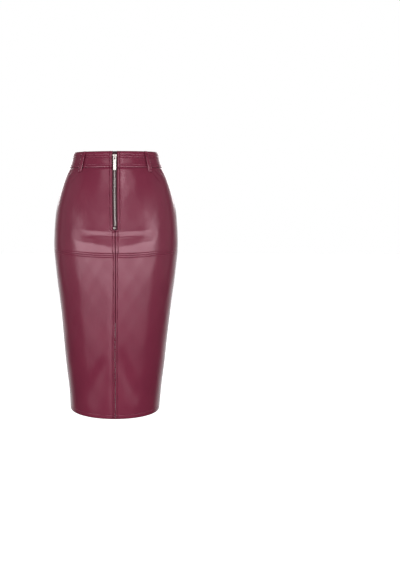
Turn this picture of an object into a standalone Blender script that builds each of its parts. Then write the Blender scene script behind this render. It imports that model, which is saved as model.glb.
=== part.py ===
# Leather pencil skirt, hollow as it is worn. Metres, +Z up; the front faces -Y, the wearer's left is +X.
# The origin is the middle of the waist opening, level with the top edge at the side seams.

import math
from collections import namedtuple

import bmesh
import bpy
from mathutils import Matrix, Vector

# Walls and gaps
LEATHER_WALL = 0.0016
BAND_WALL = 0.0024
GAP = 0.0003
SIDE_GAP = 0.0006  # between the outer faces at an upright seam; the inner faces come closer

# An edge or seam: how far below the top edge it is at the side seams, and how much further it dips
# at the centre front and the centre back. On top of that every edge falls towards the front.
Seam = namedtuple("Seam", "drop front_dip back_dip")
TOP_EDGE = Seam(0.0000, 0.0010, 0.0000)
BAND_SEAM = Seam(0.0412, 0.0020, 0.0005)
YOKE_SEAM = Seam(0.2566, 0.0072, 0.0072)
HEM = Seam(0.6866, 0.0000, 0.0000)
EDGE_TILT = 0.060  # drop in metres for each metre forward

# Level sections of the skirt's outer face: two half ellipses that meet at the side seams.
Section = namedtuple("Section", "height half_width front_depth back_depth")
SECTIONS = (
    Section(0.020, 0.1152, 0.0905, 0.0930),
    Section(0.000, 0.1158, 0.0925, 0.0960),
    Section(-0.020, 0.1193, 0.0945, 0.0990),
    Section(-0.045, 0.1275, 0.0975, 0.1035),
    Section(-0.075, 0.1400, 0.1010, 0.1090),
    Section(-0.110, 0.1505, 0.1049, 0.1155),
    Section(-0.155, 0.1606, 0.1087, 0.1225),
    Section(-0.200, 0.1650, 0.1126, 0.1265),
    Section(-0.245, 0.1667, 0.1160, 0.1268),
    Section(-0.275, 0.1650, 0.1175, 0.1253),
    Section(-0.330, 0.1591, 0.1183, 0.1210),
    Section(-0.400, 0.1497, 0.1180, 0.1163),
    Section(-0.480, 0.1408, 0.1168, 0.1126),
    Section(-0.560, 0.1326, 0.1148, 0.1106),
    Section(-0.630, 0.1238, 0.1129, 0.1096),
    Section(-0.710, 0.1174, 0.1110, 0.1092),
)

# Soft troughs that fan out below the knee, from the centre seam and the vent towards the hem.
# The angle is in degrees from the centre front, growing towards the wearer's left.
Fold = namedtuple("Fold", "angle_a height_a angle_b height_b half_width depth")
FOLDS = (
    Fold(4.0, -0.490, 26.0, -0.660, 0.016, 0.0026),
    Fold(-8.0, -0.530, -37.0, -0.665, 0.018, 0.0022),
    Fold(162.0, -0.440, 128.0, -0.655, 0.017, 0.0028),
    Fold(-170.0, -0.430, -129.0, -0.660, 0.018, 0.0030),
)
FOLD_RADIUS = 0.125  # turns an angle into a length round the skirt

# Zip at the centre front
ZIP_HALF_GAP = 0.0060  # centre line to the folded leather edge
ZIP_END = -0.2108  # height of the opening's lower end
ZIP_END_SLOPE = 0.0030  # height over which the edges close below it
TAPE_UNDER_BAND = 0.0028  # depth of the tape's outer face below the skirt's outer face
TAPE_UNDER_YOKE = 0.0020
TAPE_RISE_TOP = -0.0500  # the tape comes up between these heights, below the waistband
TAPE_RISE_END = -0.0640
TAPE_WALL = 0.0008
TAPE_INNER = 0.0030  # distance of the tape's edges from the centre line
TAPE_OUTER = 0.0145
TAPE_TOP = -0.0074
TAPE_END = -0.2160
CHAIN_HALF_WIDTH = 0.0025
CHAIN_WALL = 0.0028
CHAIN_TOP = -0.0198
CHAIN_END = -0.2033
STOP_HALF_WIDTH = 0.00275
STOP_TOP = -0.2037
STOP_END = -0.2084
STOP_WALL = 0.0036

# Slider and pull tab, in the slider's own axes: X across, Y up the zip, Z out from the leather
SLIDER_HEIGHT = -0.0230
SLIDER_HEAD = 0.0070  # from the axle up to the plate's wide end
SLIDER_TAIL = 0.0035  # and down to its narrow end
SLIDER_WIDTH = 0.0114
SLIDER_TAPER = 0.72
PLATE_INNER = 0.0005  # heights of the front plate's two faces
PLATE_OUTER = 0.0019
TAIL_END = 0.0080  # from the axle down to the lower end of the bent tail
TAIL_OVERLAP = 0.0005  # how far the tail runs into the plate
TAIL_INSET = 0.0001  # how much narrower it is on each side
TAIL_DROP = 0.0017
Corners = namedtuple("Corners", "low high")
BRIDGE = Corners((-0.0013, -0.0031, 0.0017), (0.0013, 0.0045, 0.0063))
BRIDGE_HOLE = Corners((-0.0020, -0.0017, 0.0010), (0.0020, 0.0030, 0.0051))
POST = Corners((-0.0012, 0.0035, -0.0055), (0.0012, 0.0063, 0.0009))  # joins the plates between the teeth
BACK_PLATE = Corners((-0.0044, -0.0033, -0.0061), (0.0044, 0.0065, -0.0049))
FLANGE = Corners((0.0029, -0.0030, -0.0024), (0.0041, 0.0025, 0.0009))  # on the wearer's left, mirrored
BACK_FLANGE = Corners((0.0029, -0.0029, -0.0053), (0.0041, 0.0025, -0.0039))
AXLE_RISE = 0.0035
PULL_WIDTH = 0.0082
PULL_LENGTH = 0.0360
PULL_THICK = 0.0014
PULL_HEAD = 0.0011  # from the axle to the tab's upper end
EYE_WIDTH = 0.0038
EYE_TOP = -0.0009
EYE_END = -0.0074

# Vent at the centre back: half the slit at each height
VentRow = namedtuple("VentRow", "height half_gap")
VENT = (
    VentRow(-0.385, SIDE_GAP / 2),
    VentRow(-0.420, 0.0005),
    VentRow(-0.460, 0.0022),
    VentRow(-0.550, 0.0039),
    VentRow(-0.640, 0.0049),
    VentRow(-0.700, 0.0052),
)

# Belt loops: where they stand, and the rise of their inner face off the skirt down their length
LOOP_ANGLES = {
    "belt_loop_front_left": 43.0,
    "belt_loop_front_right": -43.0,
    "belt_loop_back_left": 122.0,
    "belt_loop_back_right": -122.0,
    "belt_loop_centre_back": 180.0,
}
LOOP_WIDTH = 0.0100
LOOP_WALL = 0.0026
LoopRow = namedtuple("LoopRow", "down rise")
LOOP_ROWS = (
    LoopRow(0.0008, 0.0004),
    LoopRow(0.0045, 0.0004),
    LoopRow(0.0090, 0.0019),
    LoopRow(0.0150, 0.0034),
    LoopRow(0.0260, 0.0038),
    LoopRow(0.0370, 0.0034),
    LoopRow(0.0450, 0.0020),
    LoopRow(0.0505, 0.0006),
    LoopRow(0.0555, 0.0004),
)

# Columns of a quarter panel, as shares of the way from its centre edge to its side seam
COLUMNS = (0.0, 0.10, 0.21, 0.32, 0.43, 0.54, 0.65, 0.76, 0.86, 0.94, 1.0)
YOKE_ROWS = 9
SKIRT_ROWS = 13
BAND_ROWS = 3
ZIP_ROWS = 12


# ---- Colours and materials

def linear(hex_colour):
    """An sRGB hex colour as linear red, green, blue and alpha."""
    channels = [int(hex_colour[i:i + 2], 16) / 255 for i in (0, 2, 4)]
    return [c / 12.92 if c <= 0.04045 else ((c + 0.055) / 1.055) ** 2.4 for c in channels] + [1.0]


def material(name, hex_colour, roughness, metallic=0.0):
    made = bpy.data.materials.new(name)
    made.use_nodes = True
    shader = made.node_tree.nodes["Principled BSDF"]
    shader.inputs["Base Color"].default_value = linear(hex_colour)
    shader.inputs["Roughness"].default_value = roughness
    shader.inputs["Metallic"].default_value = metallic
    made.diffuse_color = linear(hex_colour)
    return made


# ---- The form of the skirt

def hermite(rows, height, column):
    """A smooth curve through one column of a table whose heights fall from row to row."""
    keys = [row.height for row in rows]
    values = [row[column] for row in rows]
    last = len(rows) - 2
    i = 0
    while i < last and height < keys[i + 1]:
        i += 1

    def slope(k):
        low = max(k - 1, 0)
        high = min(k + 1, len(rows) - 1)
        return (values[high] - values[low]) / (keys[high] - keys[low])

    step = keys[i + 1] - keys[i]
    t = min(1.0, max(0.0, (height - keys[i]) / step))
    return (
        values[i] * (1 + 2 * t) * (1 - t) ** 2
        + values[i + 1] * t * t * (3 - 2 * t)
        + slope(i) * step * t * (1 - t) ** 2
        - slope(i + 1) * step * t * t * (1 - t)
    )


def outline(angle, height):
    """A point of the smooth form; the angle is in radians from the centre front."""
    half_width = hermite(SECTIONS, height, 1)
    depth = hermite(SECTIONS, height, 2 if math.cos(angle) > 0 else 3)
    return Vector((half_width * math.sin(angle), -depth * math.cos(angle), height))


def outward(angle, height):
    step = 0.002
    round_it = outline(angle + step, height) - outline(angle - step, height)
    up_it = outline(angle, height + step) - outline(angle, height - step)
    return round_it.cross(up_it).normalized()


def trough(angle, height):
    """How deep the folds press the leather in at a point."""
    total = 0.0
    for fold in FOLDS:
        turn = math.radians(fold.angle_b - fold.angle_a) * FOLD_RADIUS
        fall = fold.height_b - fold.height_a
        away = math.remainder(angle - math.radians(fold.angle_a), math.tau) * FOLD_RADIUS
        below = height - fold.height_a
        along = (away * turn + below * fall) / (turn * turn + fall * fall)
        if 0.0 < along < 1.0:
            across = (away * fall - below * turn) / math.hypot(turn, fall)
            total += fold.depth * math.sin(math.pi * along) * math.exp(-(across / fold.half_width) ** 2)
    return total


def skin(angle, height, rise=0.0):
    """A point of the skirt's outer face, moved out by the rise."""
    return outline(angle, height) + outward(angle, height) * (rise - trough(angle, height))


def seam_height(seam, angle):
    lean = math.cos(angle)
    dip = seam.front_dip if lean > 0 else seam.back_dip
    return -seam.drop + EDGE_TILT * outline(angle, -seam.drop).y - dip * lean * lean


def edge_angle(distance, height):
    """The angle at which the skirt is this far from the centre plane."""
    return math.asin(distance / hermite(SECTIONS, height, 1))


# ---- Building helpers

def add_object(name, mesh, finish):
    made = bpy.data.objects.new(name, mesh)
    made.data.materials.append(finish)
    skirt.objects.link(made)
    return made


def shell(name, rows, wall, finish, outside=False):
    """A sheet through rows of points, thickened inwards, or outwards when the rows are its inner face."""
    mesh = bpy.data.meshes.new(name)
    form = bmesh.new()
    grid = [[form.verts.new(point) for point in row] for row in rows]
    for upper, lower in zip(grid, grid[1:]):
        for i in range(len(upper) - 1):
            form.faces.new((upper[i], lower[i], lower[i + 1], upper[i + 1]))
    form.normal_update()
    first = next(iter(form.faces))
    middle = first.calc_center_median()
    if first.normal.dot(Vector((middle.x, middle.y, 0.0))) < 0:
        bmesh.ops.reverse_faces(form, faces=form.faces[:])
    form.to_mesh(mesh)
    form.free()
    made = add_object(name, mesh, finish)
    mesh.shade_smooth()
    solid = made.modifiers.new("Wall", "SOLIDIFY")
    solid.thickness = wall
    solid.offset = 1.0 if outside else -1.0
    solid.use_even_offset = True
    return made


def block(name, low, high, collection=None):
    """A box between two corners, in the slider's axes."""
    mesh = bpy.data.meshes.new(name)
    form = bmesh.new()
    bmesh.ops.create_cube(form, size=1.0)
    low, high = Vector(low), Vector(high)
    for vertex in form.verts:
        vertex.co = Vector((low[i] + (high[i] - low[i]) * (vertex.co[i] + 0.5) for i in range(3)))
    form.to_mesh(mesh)
    form.free()
    made = bpy.data.objects.new(name, mesh)
    (collection or cutters).objects.link(made)
    if collection is None:
        made.hide_render = True
        made.display_type = "WIRE"
    return made


def bevel(made, width, segments=2):
    edge = made.modifiers.new("Edges", "BEVEL")
    edge.width = width
    edge.segments = segments
    edge.limit_method = "ANGLE"


def combine(made, other, operation):
    change = made.modifiers.new(other.name, "BOOLEAN")
    change.operation = operation
    change.object = other
    change.solver = "EXACT"


# ---- Panels

def zip_edge(height):
    """Half the width between the front yokes: open at the zip, a seam below it."""
    closing = min(1.0, max(0.0, (ZIP_END - height) / ZIP_END_SLOPE))
    return ZIP_HALF_GAP + (SIDE_GAP / 2 - ZIP_HALF_GAP) * closing


def seam_edge(height):
    return SIDE_GAP / 2


def vent_edge(height):
    for above, below in zip(VENT, VENT[1:]):
        if height > below.height:
            share = min(1.0, max(0.0, (above.height - height) / (above.height - below.height)))
            return above.half_gap + (below.half_gap - above.half_gap) * share
    return VENT[-1].half_gap


def panel_rows(side, back, top, bottom, edge, shares):
    """Rows of points of a quarter panel, from its top seam to its bottom seam."""
    rows = []
    for share in shares:
        row = []
        for column in COLUMNS:
            nominal = math.radians(90 * column)
            nominal = math.pi - nominal if back else nominal
            above = seam_height(top, nominal) - GAP / 2
            below = seam_height(bottom, nominal) + (GAP / 2 if bottom is not HEM else 0.0)
            height = above + (below - above) * share
            start = edge_angle(edge(height), height)
            end = math.pi / 2 - SIDE_GAP / 2 / hermite(SECTIONS, height, 3 if back else 2)
            angle = start + (end - start) * column
            row.append(skin(side * (math.pi - angle if back else angle), height))
        rows.append(row)
    return rows


def even_shares(count, extra=()):
    return sorted([i / (count - 1) for i in range(count)] + list(extra))


def share_at(height, top, bottom):
    """The share of the way down the centre front at which a height lies."""
    above = seam_height(top, 0.0)
    return (above - height) / (above - seam_height(bottom, 0.0))


def make_panels(finish):
    zip_shares = [share_at(h, BAND_SEAM, YOKE_SEAM) for h in (ZIP_END, ZIP_END - ZIP_END_SLOPE)]
    yoke = even_shares(YOKE_ROWS)
    lower = even_shares(SKIRT_ROWS)
    zipped = even_shares(YOKE_ROWS, zip_shares)
    panels = (
        ("front_yoke", False, BAND_SEAM, YOKE_SEAM, zip_edge, zipped),
        ("back_yoke", True, BAND_SEAM, YOKE_SEAM, seam_edge, yoke),
        ("front_skirt", False, YOKE_SEAM, HEM, seam_edge, lower),
        ("back_skirt", True, YOKE_SEAM, HEM, vent_edge, lower),
    )
    for name, back, top, bottom, edge, shares in panels:
        for side, word in ((1, "left"), (-1, "right")):
            rows = panel_rows(side, back, top, bottom, edge, shares)
            shell(f"{name}_{word}", rows, LEATHER_WALL, finish)


def band_rows(angles):
    """Rows of points of a length of waistband."""
    rows = []
    for share in even_shares(BAND_ROWS):
        row = []
        for angle in angles:
            above = seam_height(TOP_EDGE, angle)
            below = seam_height(BAND_SEAM, angle) + GAP / 2
            row.append(skin(angle, above + (below - above) * share))
        rows.append(row)
    return rows


def make_waistband(finish):
    middle = (TOP_EDGE.drop - BAND_SEAM.drop) / 2
    start = edge_angle(ZIP_HALF_GAP, middle)
    side_gap = SIDE_GAP / 2 / hermite(SECTIONS, middle, 2)
    end = math.pi / 2 - side_gap
    front = [start + (end - start) * column for column in COLUMNS]
    back_start = math.pi / 2 + side_gap
    quarter = [back_start + (math.pi - back_start) * (1 - column) for column in reversed(COLUMNS)]
    back = quarter + [math.tau - angle for angle in reversed(quarter[:-1])]
    shell("waistband_front_left", band_rows(front), BAND_WALL, finish)
    shell("waistband_front_right", band_rows([-angle for angle in front]), BAND_WALL, finish)
    shell("waistband_back", band_rows(back), BAND_WALL, finish)


def make_belt_loops(finish):
    for name, degrees in LOOP_ANGLES.items():
        angle = math.radians(degrees)
        top = seam_height(TOP_EDGE, angle)
        across = (outline(angle + 0.01, top) - outline(angle - 0.01, top)).length / 0.02
        half_turn = LOOP_WIDTH / 2 / across
        rows = [
            [skin(angle + turn, top - row.down, row.rise) for turn in (-half_turn, 0.0, half_turn)]
            for row in LOOP_ROWS
        ]
        shell(name, rows, LOOP_WALL, finish, outside=True)


# ---- Zip

def tape_depth(height):
    """Depth of the tape's outer face: deeper behind the thicker waistband."""
    share = min(1.0, max(0.0, (TAPE_RISE_TOP - height) / (TAPE_RISE_TOP - TAPE_RISE_END)))
    return TAPE_UNDER_BAND + (TAPE_UNDER_YOKE - TAPE_UNDER_BAND) * share


def strip(name, inner, outer, top, end, proud, wall, finish):
    """A straight strip down the zip, its outer face this much proud of the tape's."""
    heights = [top + (end - top) * i / (ZIP_ROWS - 1) for i in range(ZIP_ROWS)]
    heights += [h for h in (TAPE_RISE_TOP, TAPE_RISE_END) if end < h < top]
    rows = [
        [skin(edge_angle(x, h), h, proud - tape_depth(h)) for x in (inner, outer)]
        for h in sorted(heights, reverse=True)
    ]
    shell(name, rows, wall, finish)


def make_zip(tape_finish, metal_finish):
    for side, word in ((1, "left"), (-1, "right")):
        strip(f"zip_tape_{word}", side * TAPE_INNER, side * TAPE_OUTER, TAPE_TOP, TAPE_END,
              0.0, TAPE_WALL, tape_finish)
    chain_proud = (CHAIN_WALL - TAPE_WALL) / 2
    strip("zip_chain", -CHAIN_HALF_WIDTH, CHAIN_HALF_WIDTH, CHAIN_TOP, CHAIN_END,
          chain_proud, CHAIN_WALL, metal_finish)
    stop_proud = (STOP_WALL - TAPE_WALL) / 2
    strip("zip_bottom_stop", -STOP_HALF_WIDTH, STOP_HALF_WIDTH, STOP_TOP, STOP_END,
          stop_proud, STOP_WALL, metal_finish)


def slider_axes():
    """The slider's place on the zip: X across, Y up the zip, Z out."""
    out = outward(0.0, SLIDER_HEIGHT)
    across = Vector((1.0, 0.0, 0.0))
    turn = Matrix((across, out.cross(across), out)).transposed().to_4x4()
    return Matrix.Translation(outline(0.0, SLIDER_HEIGHT)) @ turn


def make_slider(finish):
    half_width = SLIDER_WIDTH / 2
    slider = block("zip_slider", (-half_width, -SLIDER_TAIL, PLATE_INNER),
                   (half_width, SLIDER_HEAD, PLATE_OUTER), skirt)
    slider.data.materials.append(finish)
    for vertex in slider.data.vertices:
        if vertex.co.y < 0:
            vertex.co.x *= SLIDER_TAPER  # the plate narrows down to the closed teeth
    bevel(slider, 0.0005)
    tail_half = half_width * SLIDER_TAPER - TAIL_INSET
    tail = block("tail", (-tail_half, -TAIL_END, PLATE_INNER),
                 (tail_half, TAIL_OVERLAP - SLIDER_TAIL, PLATE_OUTER))
    for vertex in tail.data.vertices:
        if vertex.co.y < -SLIDER_TAIL:
            vertex.co.z -= TAIL_DROP  # the tail bends in over the closed teeth

    bridge = block("bridge", *BRIDGE)
    bevel(bridge, 0.0007, 3)
    bridge_hole = block("bridge_hole", *BRIDGE_HOLE)
    combine(bridge, bridge_hole, "DIFFERENCE")
    inner = [block("post", *POST), block("back_plate", *BACK_PLATE)]
    for side, word in ((1, "left"), (-1, "right")):
        for name, corners in (("flange", FLANGE), ("back_flange", BACK_FLANGE)):
            near, far = sorted((side * corners.low[0], side * corners.high[0]))
            inner.append(block(f"{name}_{word}", (near, *corners.low[1:]), (far, *corners.high[1:])))
    for piece in [bridge, tail] + inner:
        combine(slider, piece, "UNION")
    slider.matrix_world = slider_axes()
    for piece in [bridge, bridge_hole, tail] + inner:
        piece.matrix_world = slider_axes()


def make_pull(finish):
    """The tab's origin is on its axle, in the bridge."""
    axle = slider_axes() @ Matrix.Translation((0.0, 0.0, AXLE_RISE))
    half_thick = PULL_THICK / 2
    tab = block("zip_pull", (-PULL_WIDTH / 2, PULL_HEAD - PULL_LENGTH, -half_thick),
                (PULL_WIDTH / 2, PULL_HEAD, half_thick), skirt)
    tab.data.materials.append(finish)
    bevel(tab, 0.0005)
    eye = block("pull_eye", (-EYE_WIDTH / 2, EYE_END, -2 * half_thick),
                (EYE_WIDTH / 2, EYE_TOP, 2 * half_thick))
    bevel(eye, 0.0004, 1)
    combine(tab, eye, "DIFFERENCE")
    tab.matrix_world = axle
    eye.matrix_world = axle


# ---- The skirt

for old in list(bpy.data.objects):
    bpy.data.objects.remove(old)
skirt = bpy.data.collections.new("leather_skirt")
cutters = bpy.data.collections.new("tool_bodies")
for group in (skirt, cutters):
    bpy.context.scene.collection.children.link(group)

leather = material("coated leather", "7A3549", 0.38)
tape_cloth = material("zip tape", "4A1E2B", 0.80)
nickel = material("nickel", "D9D5D0", 0.22, 1.0)

make_waistband(leather)
make_panels(leather)
make_belt_loops(leather)
make_zip(tape_cloth, nickel)
make_slider(nickel)
make_pull(nickel)
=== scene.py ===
import math

import bmesh
import bpy
import numpy as np
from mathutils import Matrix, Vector


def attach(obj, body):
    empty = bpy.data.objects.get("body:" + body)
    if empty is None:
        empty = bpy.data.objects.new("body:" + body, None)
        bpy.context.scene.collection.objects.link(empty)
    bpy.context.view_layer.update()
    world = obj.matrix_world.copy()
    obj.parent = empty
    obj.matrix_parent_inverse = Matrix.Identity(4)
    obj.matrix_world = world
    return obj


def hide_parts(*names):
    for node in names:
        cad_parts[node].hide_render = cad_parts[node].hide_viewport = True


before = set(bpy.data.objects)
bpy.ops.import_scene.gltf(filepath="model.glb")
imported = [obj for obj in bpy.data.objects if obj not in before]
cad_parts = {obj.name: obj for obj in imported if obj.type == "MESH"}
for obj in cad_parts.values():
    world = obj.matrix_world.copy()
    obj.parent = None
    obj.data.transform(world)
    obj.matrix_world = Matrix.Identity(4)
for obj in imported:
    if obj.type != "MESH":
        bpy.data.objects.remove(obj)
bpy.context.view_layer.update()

mm = 0.001

# small helpers

noiseSpan = (0.3, 0.7)  # most of a noise texture's values lie in here


def linearColour(hexColour):
    channels = [int(hexColour[i:i + 2], 16) / 255 for i in (0, 2, 4)]
    return [c / 12.92 if c <= 0.04045 else ((c + 0.055) / 1.055) ** 2.4 for c in channels] + [1.0]


def addNode(tree, kind, settings=None, links=None):
    # settings: attribute or input name to value; links: input name to an output socket
    node = tree.nodes.new(kind)
    for key, value in (settings or {}).items():
        if isinstance(key, int) or key in node.inputs:
            node.inputs[key].default_value = value
        else:
            setattr(node, key, value)
    for key, socket in (links or {}).items():
        tree.links.new(socket, node.inputs[key])
    return node


def newMaterial(name, **settings):
    material = bpy.data.materials.new(name)
    material.use_nodes = True
    shader = material.node_tree.nodes["Principled BSDF"]
    for key, value in settings.items():
        shader.inputs[key.replace("_", " ")].default_value = value
    return material, material.node_tree, shader


def smoothStep(low, high, value):
    t = np.clip((value - low) / (high - low), 0, 1)
    return t * t * (3 - 2 * t)


def curveThrough(rows, at):
    # a smooth curve through rows of numbers whose first column rises
    keys, values = rows[:, 0], rows[:, 1:]
    at = np.clip(at, keys[0], keys[-1])
    i = np.clip(np.searchsorted(keys, at) - 1, 0, len(keys) - 2)
    slopes = np.empty_like(values)
    slopes[1:-1] = (values[2:] - values[:-2]) / (keys[2:] - keys[:-2])[:, None]
    slopes[0] = (values[1] - values[0]) / (keys[1] - keys[0])
    slopes[-1] = (values[-1] - values[-2]) / (keys[-1] - keys[-2])
    step = (keys[i + 1] - keys[i])[..., None]
    t = (at - keys[i])[..., None] / step
    return (
        values[i] * (1 + 2 * t) * (1 - t) ** 2
        + values[i + 1] * t * t * (3 - 2 * t)
        + slopes[i] * step * t * (1 - t) ** 2
        - slopes[i + 1] * step * t * t * (1 - t)
    )


# the skirt's form, in millimetres

form = {
    # height, half width, front depth, back depth
    "sections": (
        (20, 115.2, 90.5, 93.0),
        (0, 115.8, 92.5, 96.0),
        (-20, 119.3, 94.5, 99.0),
        (-45, 127.5, 97.5, 103.5),
        (-75, 140.0, 101.0, 109.0),
        (-110, 150.5, 104.9, 115.5),
        (-155, 160.6, 108.7, 122.5),
        (-200, 165.0, 112.6, 126.5),
        (-230, 166.3, 115.4, 127.0),
        (-242, 166.6, 116.2, 126.9),
        (-262, 166.0, 117.0, 126.1),
        (-275, 165.0, 117.5, 125.3),
        (-330, 159.1, 118.3, 121.0),
        (-400, 149.7, 118.0, 116.3),
        (-480, 140.8, 116.8, 112.6),
        (-560, 132.6, 114.8, 110.6),
        (-630, 123.8, 112.9, 109.6),
        (-710, 117.4, 111.0, 109.2),
    ),
    "tilt": 0.060,  # edges fall towards the front
    "topEdge": (0.0, 1.0, 0.0),  # drop at the side seams, further dip at the centre front and back
    "bandSeam": (41.2, 2.0, 0.5),
    "yokeSeam": (256.6, 7.2, 7.2),
    "hem": (686.6, 0.0, 0.0),
    # the belly's fullness below the zip: where it starts, where it ends at the centre line, how far out to
    # the sides it runs, how steep it is and over what height it fades
    "belly": {"start": -236.0, "end": -257.0, "reach": 108.0, "slope": 0.060, "fade": 75.0},
    # height, sideways lean, and turn in degrees towards the wearer's left
    "settling": (
        (-700, -3.0, 2.3), (-650, -2.1, 2.1), (-510, -1.6, 1.5), (-450, -0.7, 1.4), (-290, -0.1, 1.35),
        (-211, 0.0, 0.8), (-110, 0.0, 0.0), (20, 0.0, 0.0),
    ),
}

sectionTable = np.array(form["sections"], float)[::-1]
settlingTable = np.array(form["settling"], float)
angleStep = 0.01  # short steps along the surface, to find its direction
heightStep = 1.0


def outline(angle, height):
    # angle is 0 at the centre front and grows towards the wearer's left
    section = curveThrough(sectionTable, height)
    depth = np.where(np.cos(angle) > 0, section[..., 1], section[..., 2])
    return np.stack([section[..., 0] * np.sin(angle), -depth * np.cos(angle), height + 0 * angle], -1)


def outward(angle, height):
    roundIt = outline(angle + angleStep, height) - outline(angle - angleStep, height)
    upIt = outline(angle, height + heightStep) - outline(angle, height - heightStep)
    normal = np.cross(roundIt, upIt)
    return normal / np.linalg.norm(normal, axis=-1, keepdims=True)


def pointAt(angle, height, rise):
    angle, height, rise = np.broadcast_arrays(np.asarray(angle, float), height, rise)
    normal = outward(angle, height)
    return outline(angle, height) + normal * rise[..., None], normal


def lengthPerRadian(angle, height):
    apart = outline(angle + angleStep, height) - outline(angle - angleStep, height)
    return np.linalg.norm(apart) / (2 * angleStep)


def seamHeight(seam, angle):
    drop, frontDip, backDip = form[seam]
    lean = np.cos(angle)
    y = outline(angle, np.full(np.shape(angle), -drop))[..., 1]
    return -drop + form["tilt"] * y - np.where(lean > 0, frontDip, backDip) * lean * lean


# length round a quarter of the skirt, from the centre plane, for steps of height and angle
arcStep = 5.0
arcMargin = 0.1  # keeps a height between two rows of the table
arcHeights = np.arange(-715.0, 26.0, arcStep)
arcAngles = np.linspace(0, math.pi / 2, 121)


def quarterArcs(back):
    height, angle = np.meshgrid(arcHeights, arcAngles, indexing="ij")
    points = outline(math.pi - angle if back else angle, height)[..., :2]
    steps = np.linalg.norm(np.diff(points, axis=1), axis=-1)
    return np.concatenate([np.zeros((len(arcHeights), 1)), np.cumsum(steps, axis=1)], axis=1)


arcTables = {False: quarterArcs(False), True: quarterArcs(True)}


def arcsAt(height, back):
    # the row of lengths for each of an array of heights
    inside = np.clip(height, arcHeights[0] + arcMargin, arcHeights[-1] - arcMargin)
    place = (inside - arcHeights[0]) / arcStep
    low = place.astype(int)
    share = (place - low)[:, None]
    table = arcTables[back]
    return table[low] * (1 - share) + table[low + 1] * share


def angleAt(distance, height, back):
    # the angle from the centre front that lies this far round from the centre line, wearer's left positive
    distance, height = np.broadcast_arrays(np.asarray(distance, float), np.asarray(height, float))
    rows = arcsAt(height.ravel(), back)
    found = np.array([np.interp(abs(d), row, arcAngles) for d, row in zip(distance.ravel(), rows)])
    found = found.reshape(distance.shape)
    return np.where(distance < 0, -1, 1) * (math.pi - found if back else found)


def quarterLength(height, back):
    return arcsAt(np.asarray(height, float).ravel(), back)[:, -1].reshape(np.shape(height))


# creases and unevenness

# each crease runs between two points of the leather: distance from the centre line towards the wearer's
# left, and height; then how far it bows, its half width at both ends and how many times wider it is above
# its line, and how deep it presses in, below zero for a ridge; the last number is the share of its length at
# which it is deepest
creases = {
    "front": (
        ((-8, -219.8), (-106, -207.0), 0.0, (2.2, 4.6, 1.5), -0.28, 0.35),
        ((8, -219.8), (114, -208.0), 0.0, (2.2, 4.8, 1.5), -0.27, 0.32),
        ((-22, -219.8), (22, -219.8), 0.0, (2.2, 2.2, 1.3), -0.12, 0.50),
        ((-11, -220.0), (-78, -210.5), 1.0, (1.3, 2.4, 1.0), 0.25, 0.22),
        ((11, -220.0), (72, -213.0), 1.0, (1.3, 2.4, 1.0), 0.25, 0.22),
        ((-8, -227.6), (-116, -226.0), -0.5, (2.7, 6.0, 2.3), 0.85, 0.20),
        ((8, -227.6), (120, -225.0), 0.5, (2.7, 6.5, 2.3), 0.85, 0.16),
        ((-26, -227.6), (26, -227.6), 0.0, (2.7, 2.7, 2.3), 0.70, 0.50),
        ((10, -490), (54, -660), 4, (10, 20, 1.0), 2.0, 0.55),
        ((-18, -530), (-76, -665), -4, (12, 22, 1.0), 1.8, 0.55),
        ((112, -50), (146, -72), 1.5, (2.0, 3.0, 1.0), 1.45, 0.4),
        ((126, -48), (156, -68), 1.2, (1.8, 2.6, 1.0), 1.30, 0.4),
        ((106, -58), (142, -90), 2.0, (2.4, 4.0, 1.0), 1.05, 0.4),
        ((-112, -52), (-146, -74), 1.5, (2.2, 3.4, 1.0), 1.05, 0.4),
        ((-126, -49), (-156, -70), 1.2, (1.8, 2.8, 1.0), 1.00, 0.4),
        ((-104, -60), (-142, -92), 2.0, (2.6, 4.2, 1.0), 0.80, 0.4),
    ),
    "back": (
        ((42, -440), (104, -655), 4, (12, 22, 1.0), 2.8, 0.5),
        ((-24, -430), (-102, -660), -4, (12, 22, 1.0), 3.0, 0.5),
        ((122, -52), (150, -74), 1.5, (2.5, 4.0, 1.0), 0.50, 0.5),
        ((-124, -52), (-152, -76), -1.5, (2.5, 4.0, 1.0), 0.50, 0.5),
    ),
}
creaseFocus = 3  # how quickly a crease fades away from its deepest place

# long soft waves all over: wavelength across and down, height, phase
waves = (
    (61, 93, 0.08, 0.4),
    (-47, 71, 0.06, 2.1),
    (34, -58, 0.035, 4.0),
    (-27, -41, 0.02, 5.2),
)

# the unevenness of sewn rows: size, millimetres for a radian of the wave, share of the row's phase
puckers = ((0.22, 2.9, 1), (0.16, 1.7, 2), (0.20, 8.3, 3))


def reliefAt(side, distance, height):
    # how far creases press the leather in; side is front or back
    total = np.zeros(np.shape(distance))
    for (startX, startZ), (endX, endZ), bow, (startWidth, endWidth, above), depth, peak in creases[side]:
        runX, runZ = endX - startX, endZ - startZ
        length = math.hypot(runX, runZ)
        along = ((distance - startX) * runX + (height - startZ) * runZ) / length ** 2
        across = ((distance - startX) * runZ - (height - startZ) * runX) / length
        if runX < 0:
            across = -across
        inside = np.clip(along, 0, 1)
        across = across - bow * 4 * inside * (1 - inside)
        rise, fall = peak * creaseFocus, (1 - peak) * creaseFocus
        best = peak ** rise * (1 - peak) ** fall
        strength = inside ** rise * (1 - inside) ** fall / best
        width = (startWidth + (endWidth - startWidth) * inside) * np.where(across < 0, above, 1.0)
        total = total + depth * strength * np.exp(-(across / width) ** 2)
    for wide, high, size, phase in waves:
        total = total + size * np.sin(2 * math.pi * (distance / wide + height / high) + phase)
    return total - (bellyRise(distance, height) if side == "front" else 0.0)


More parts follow.
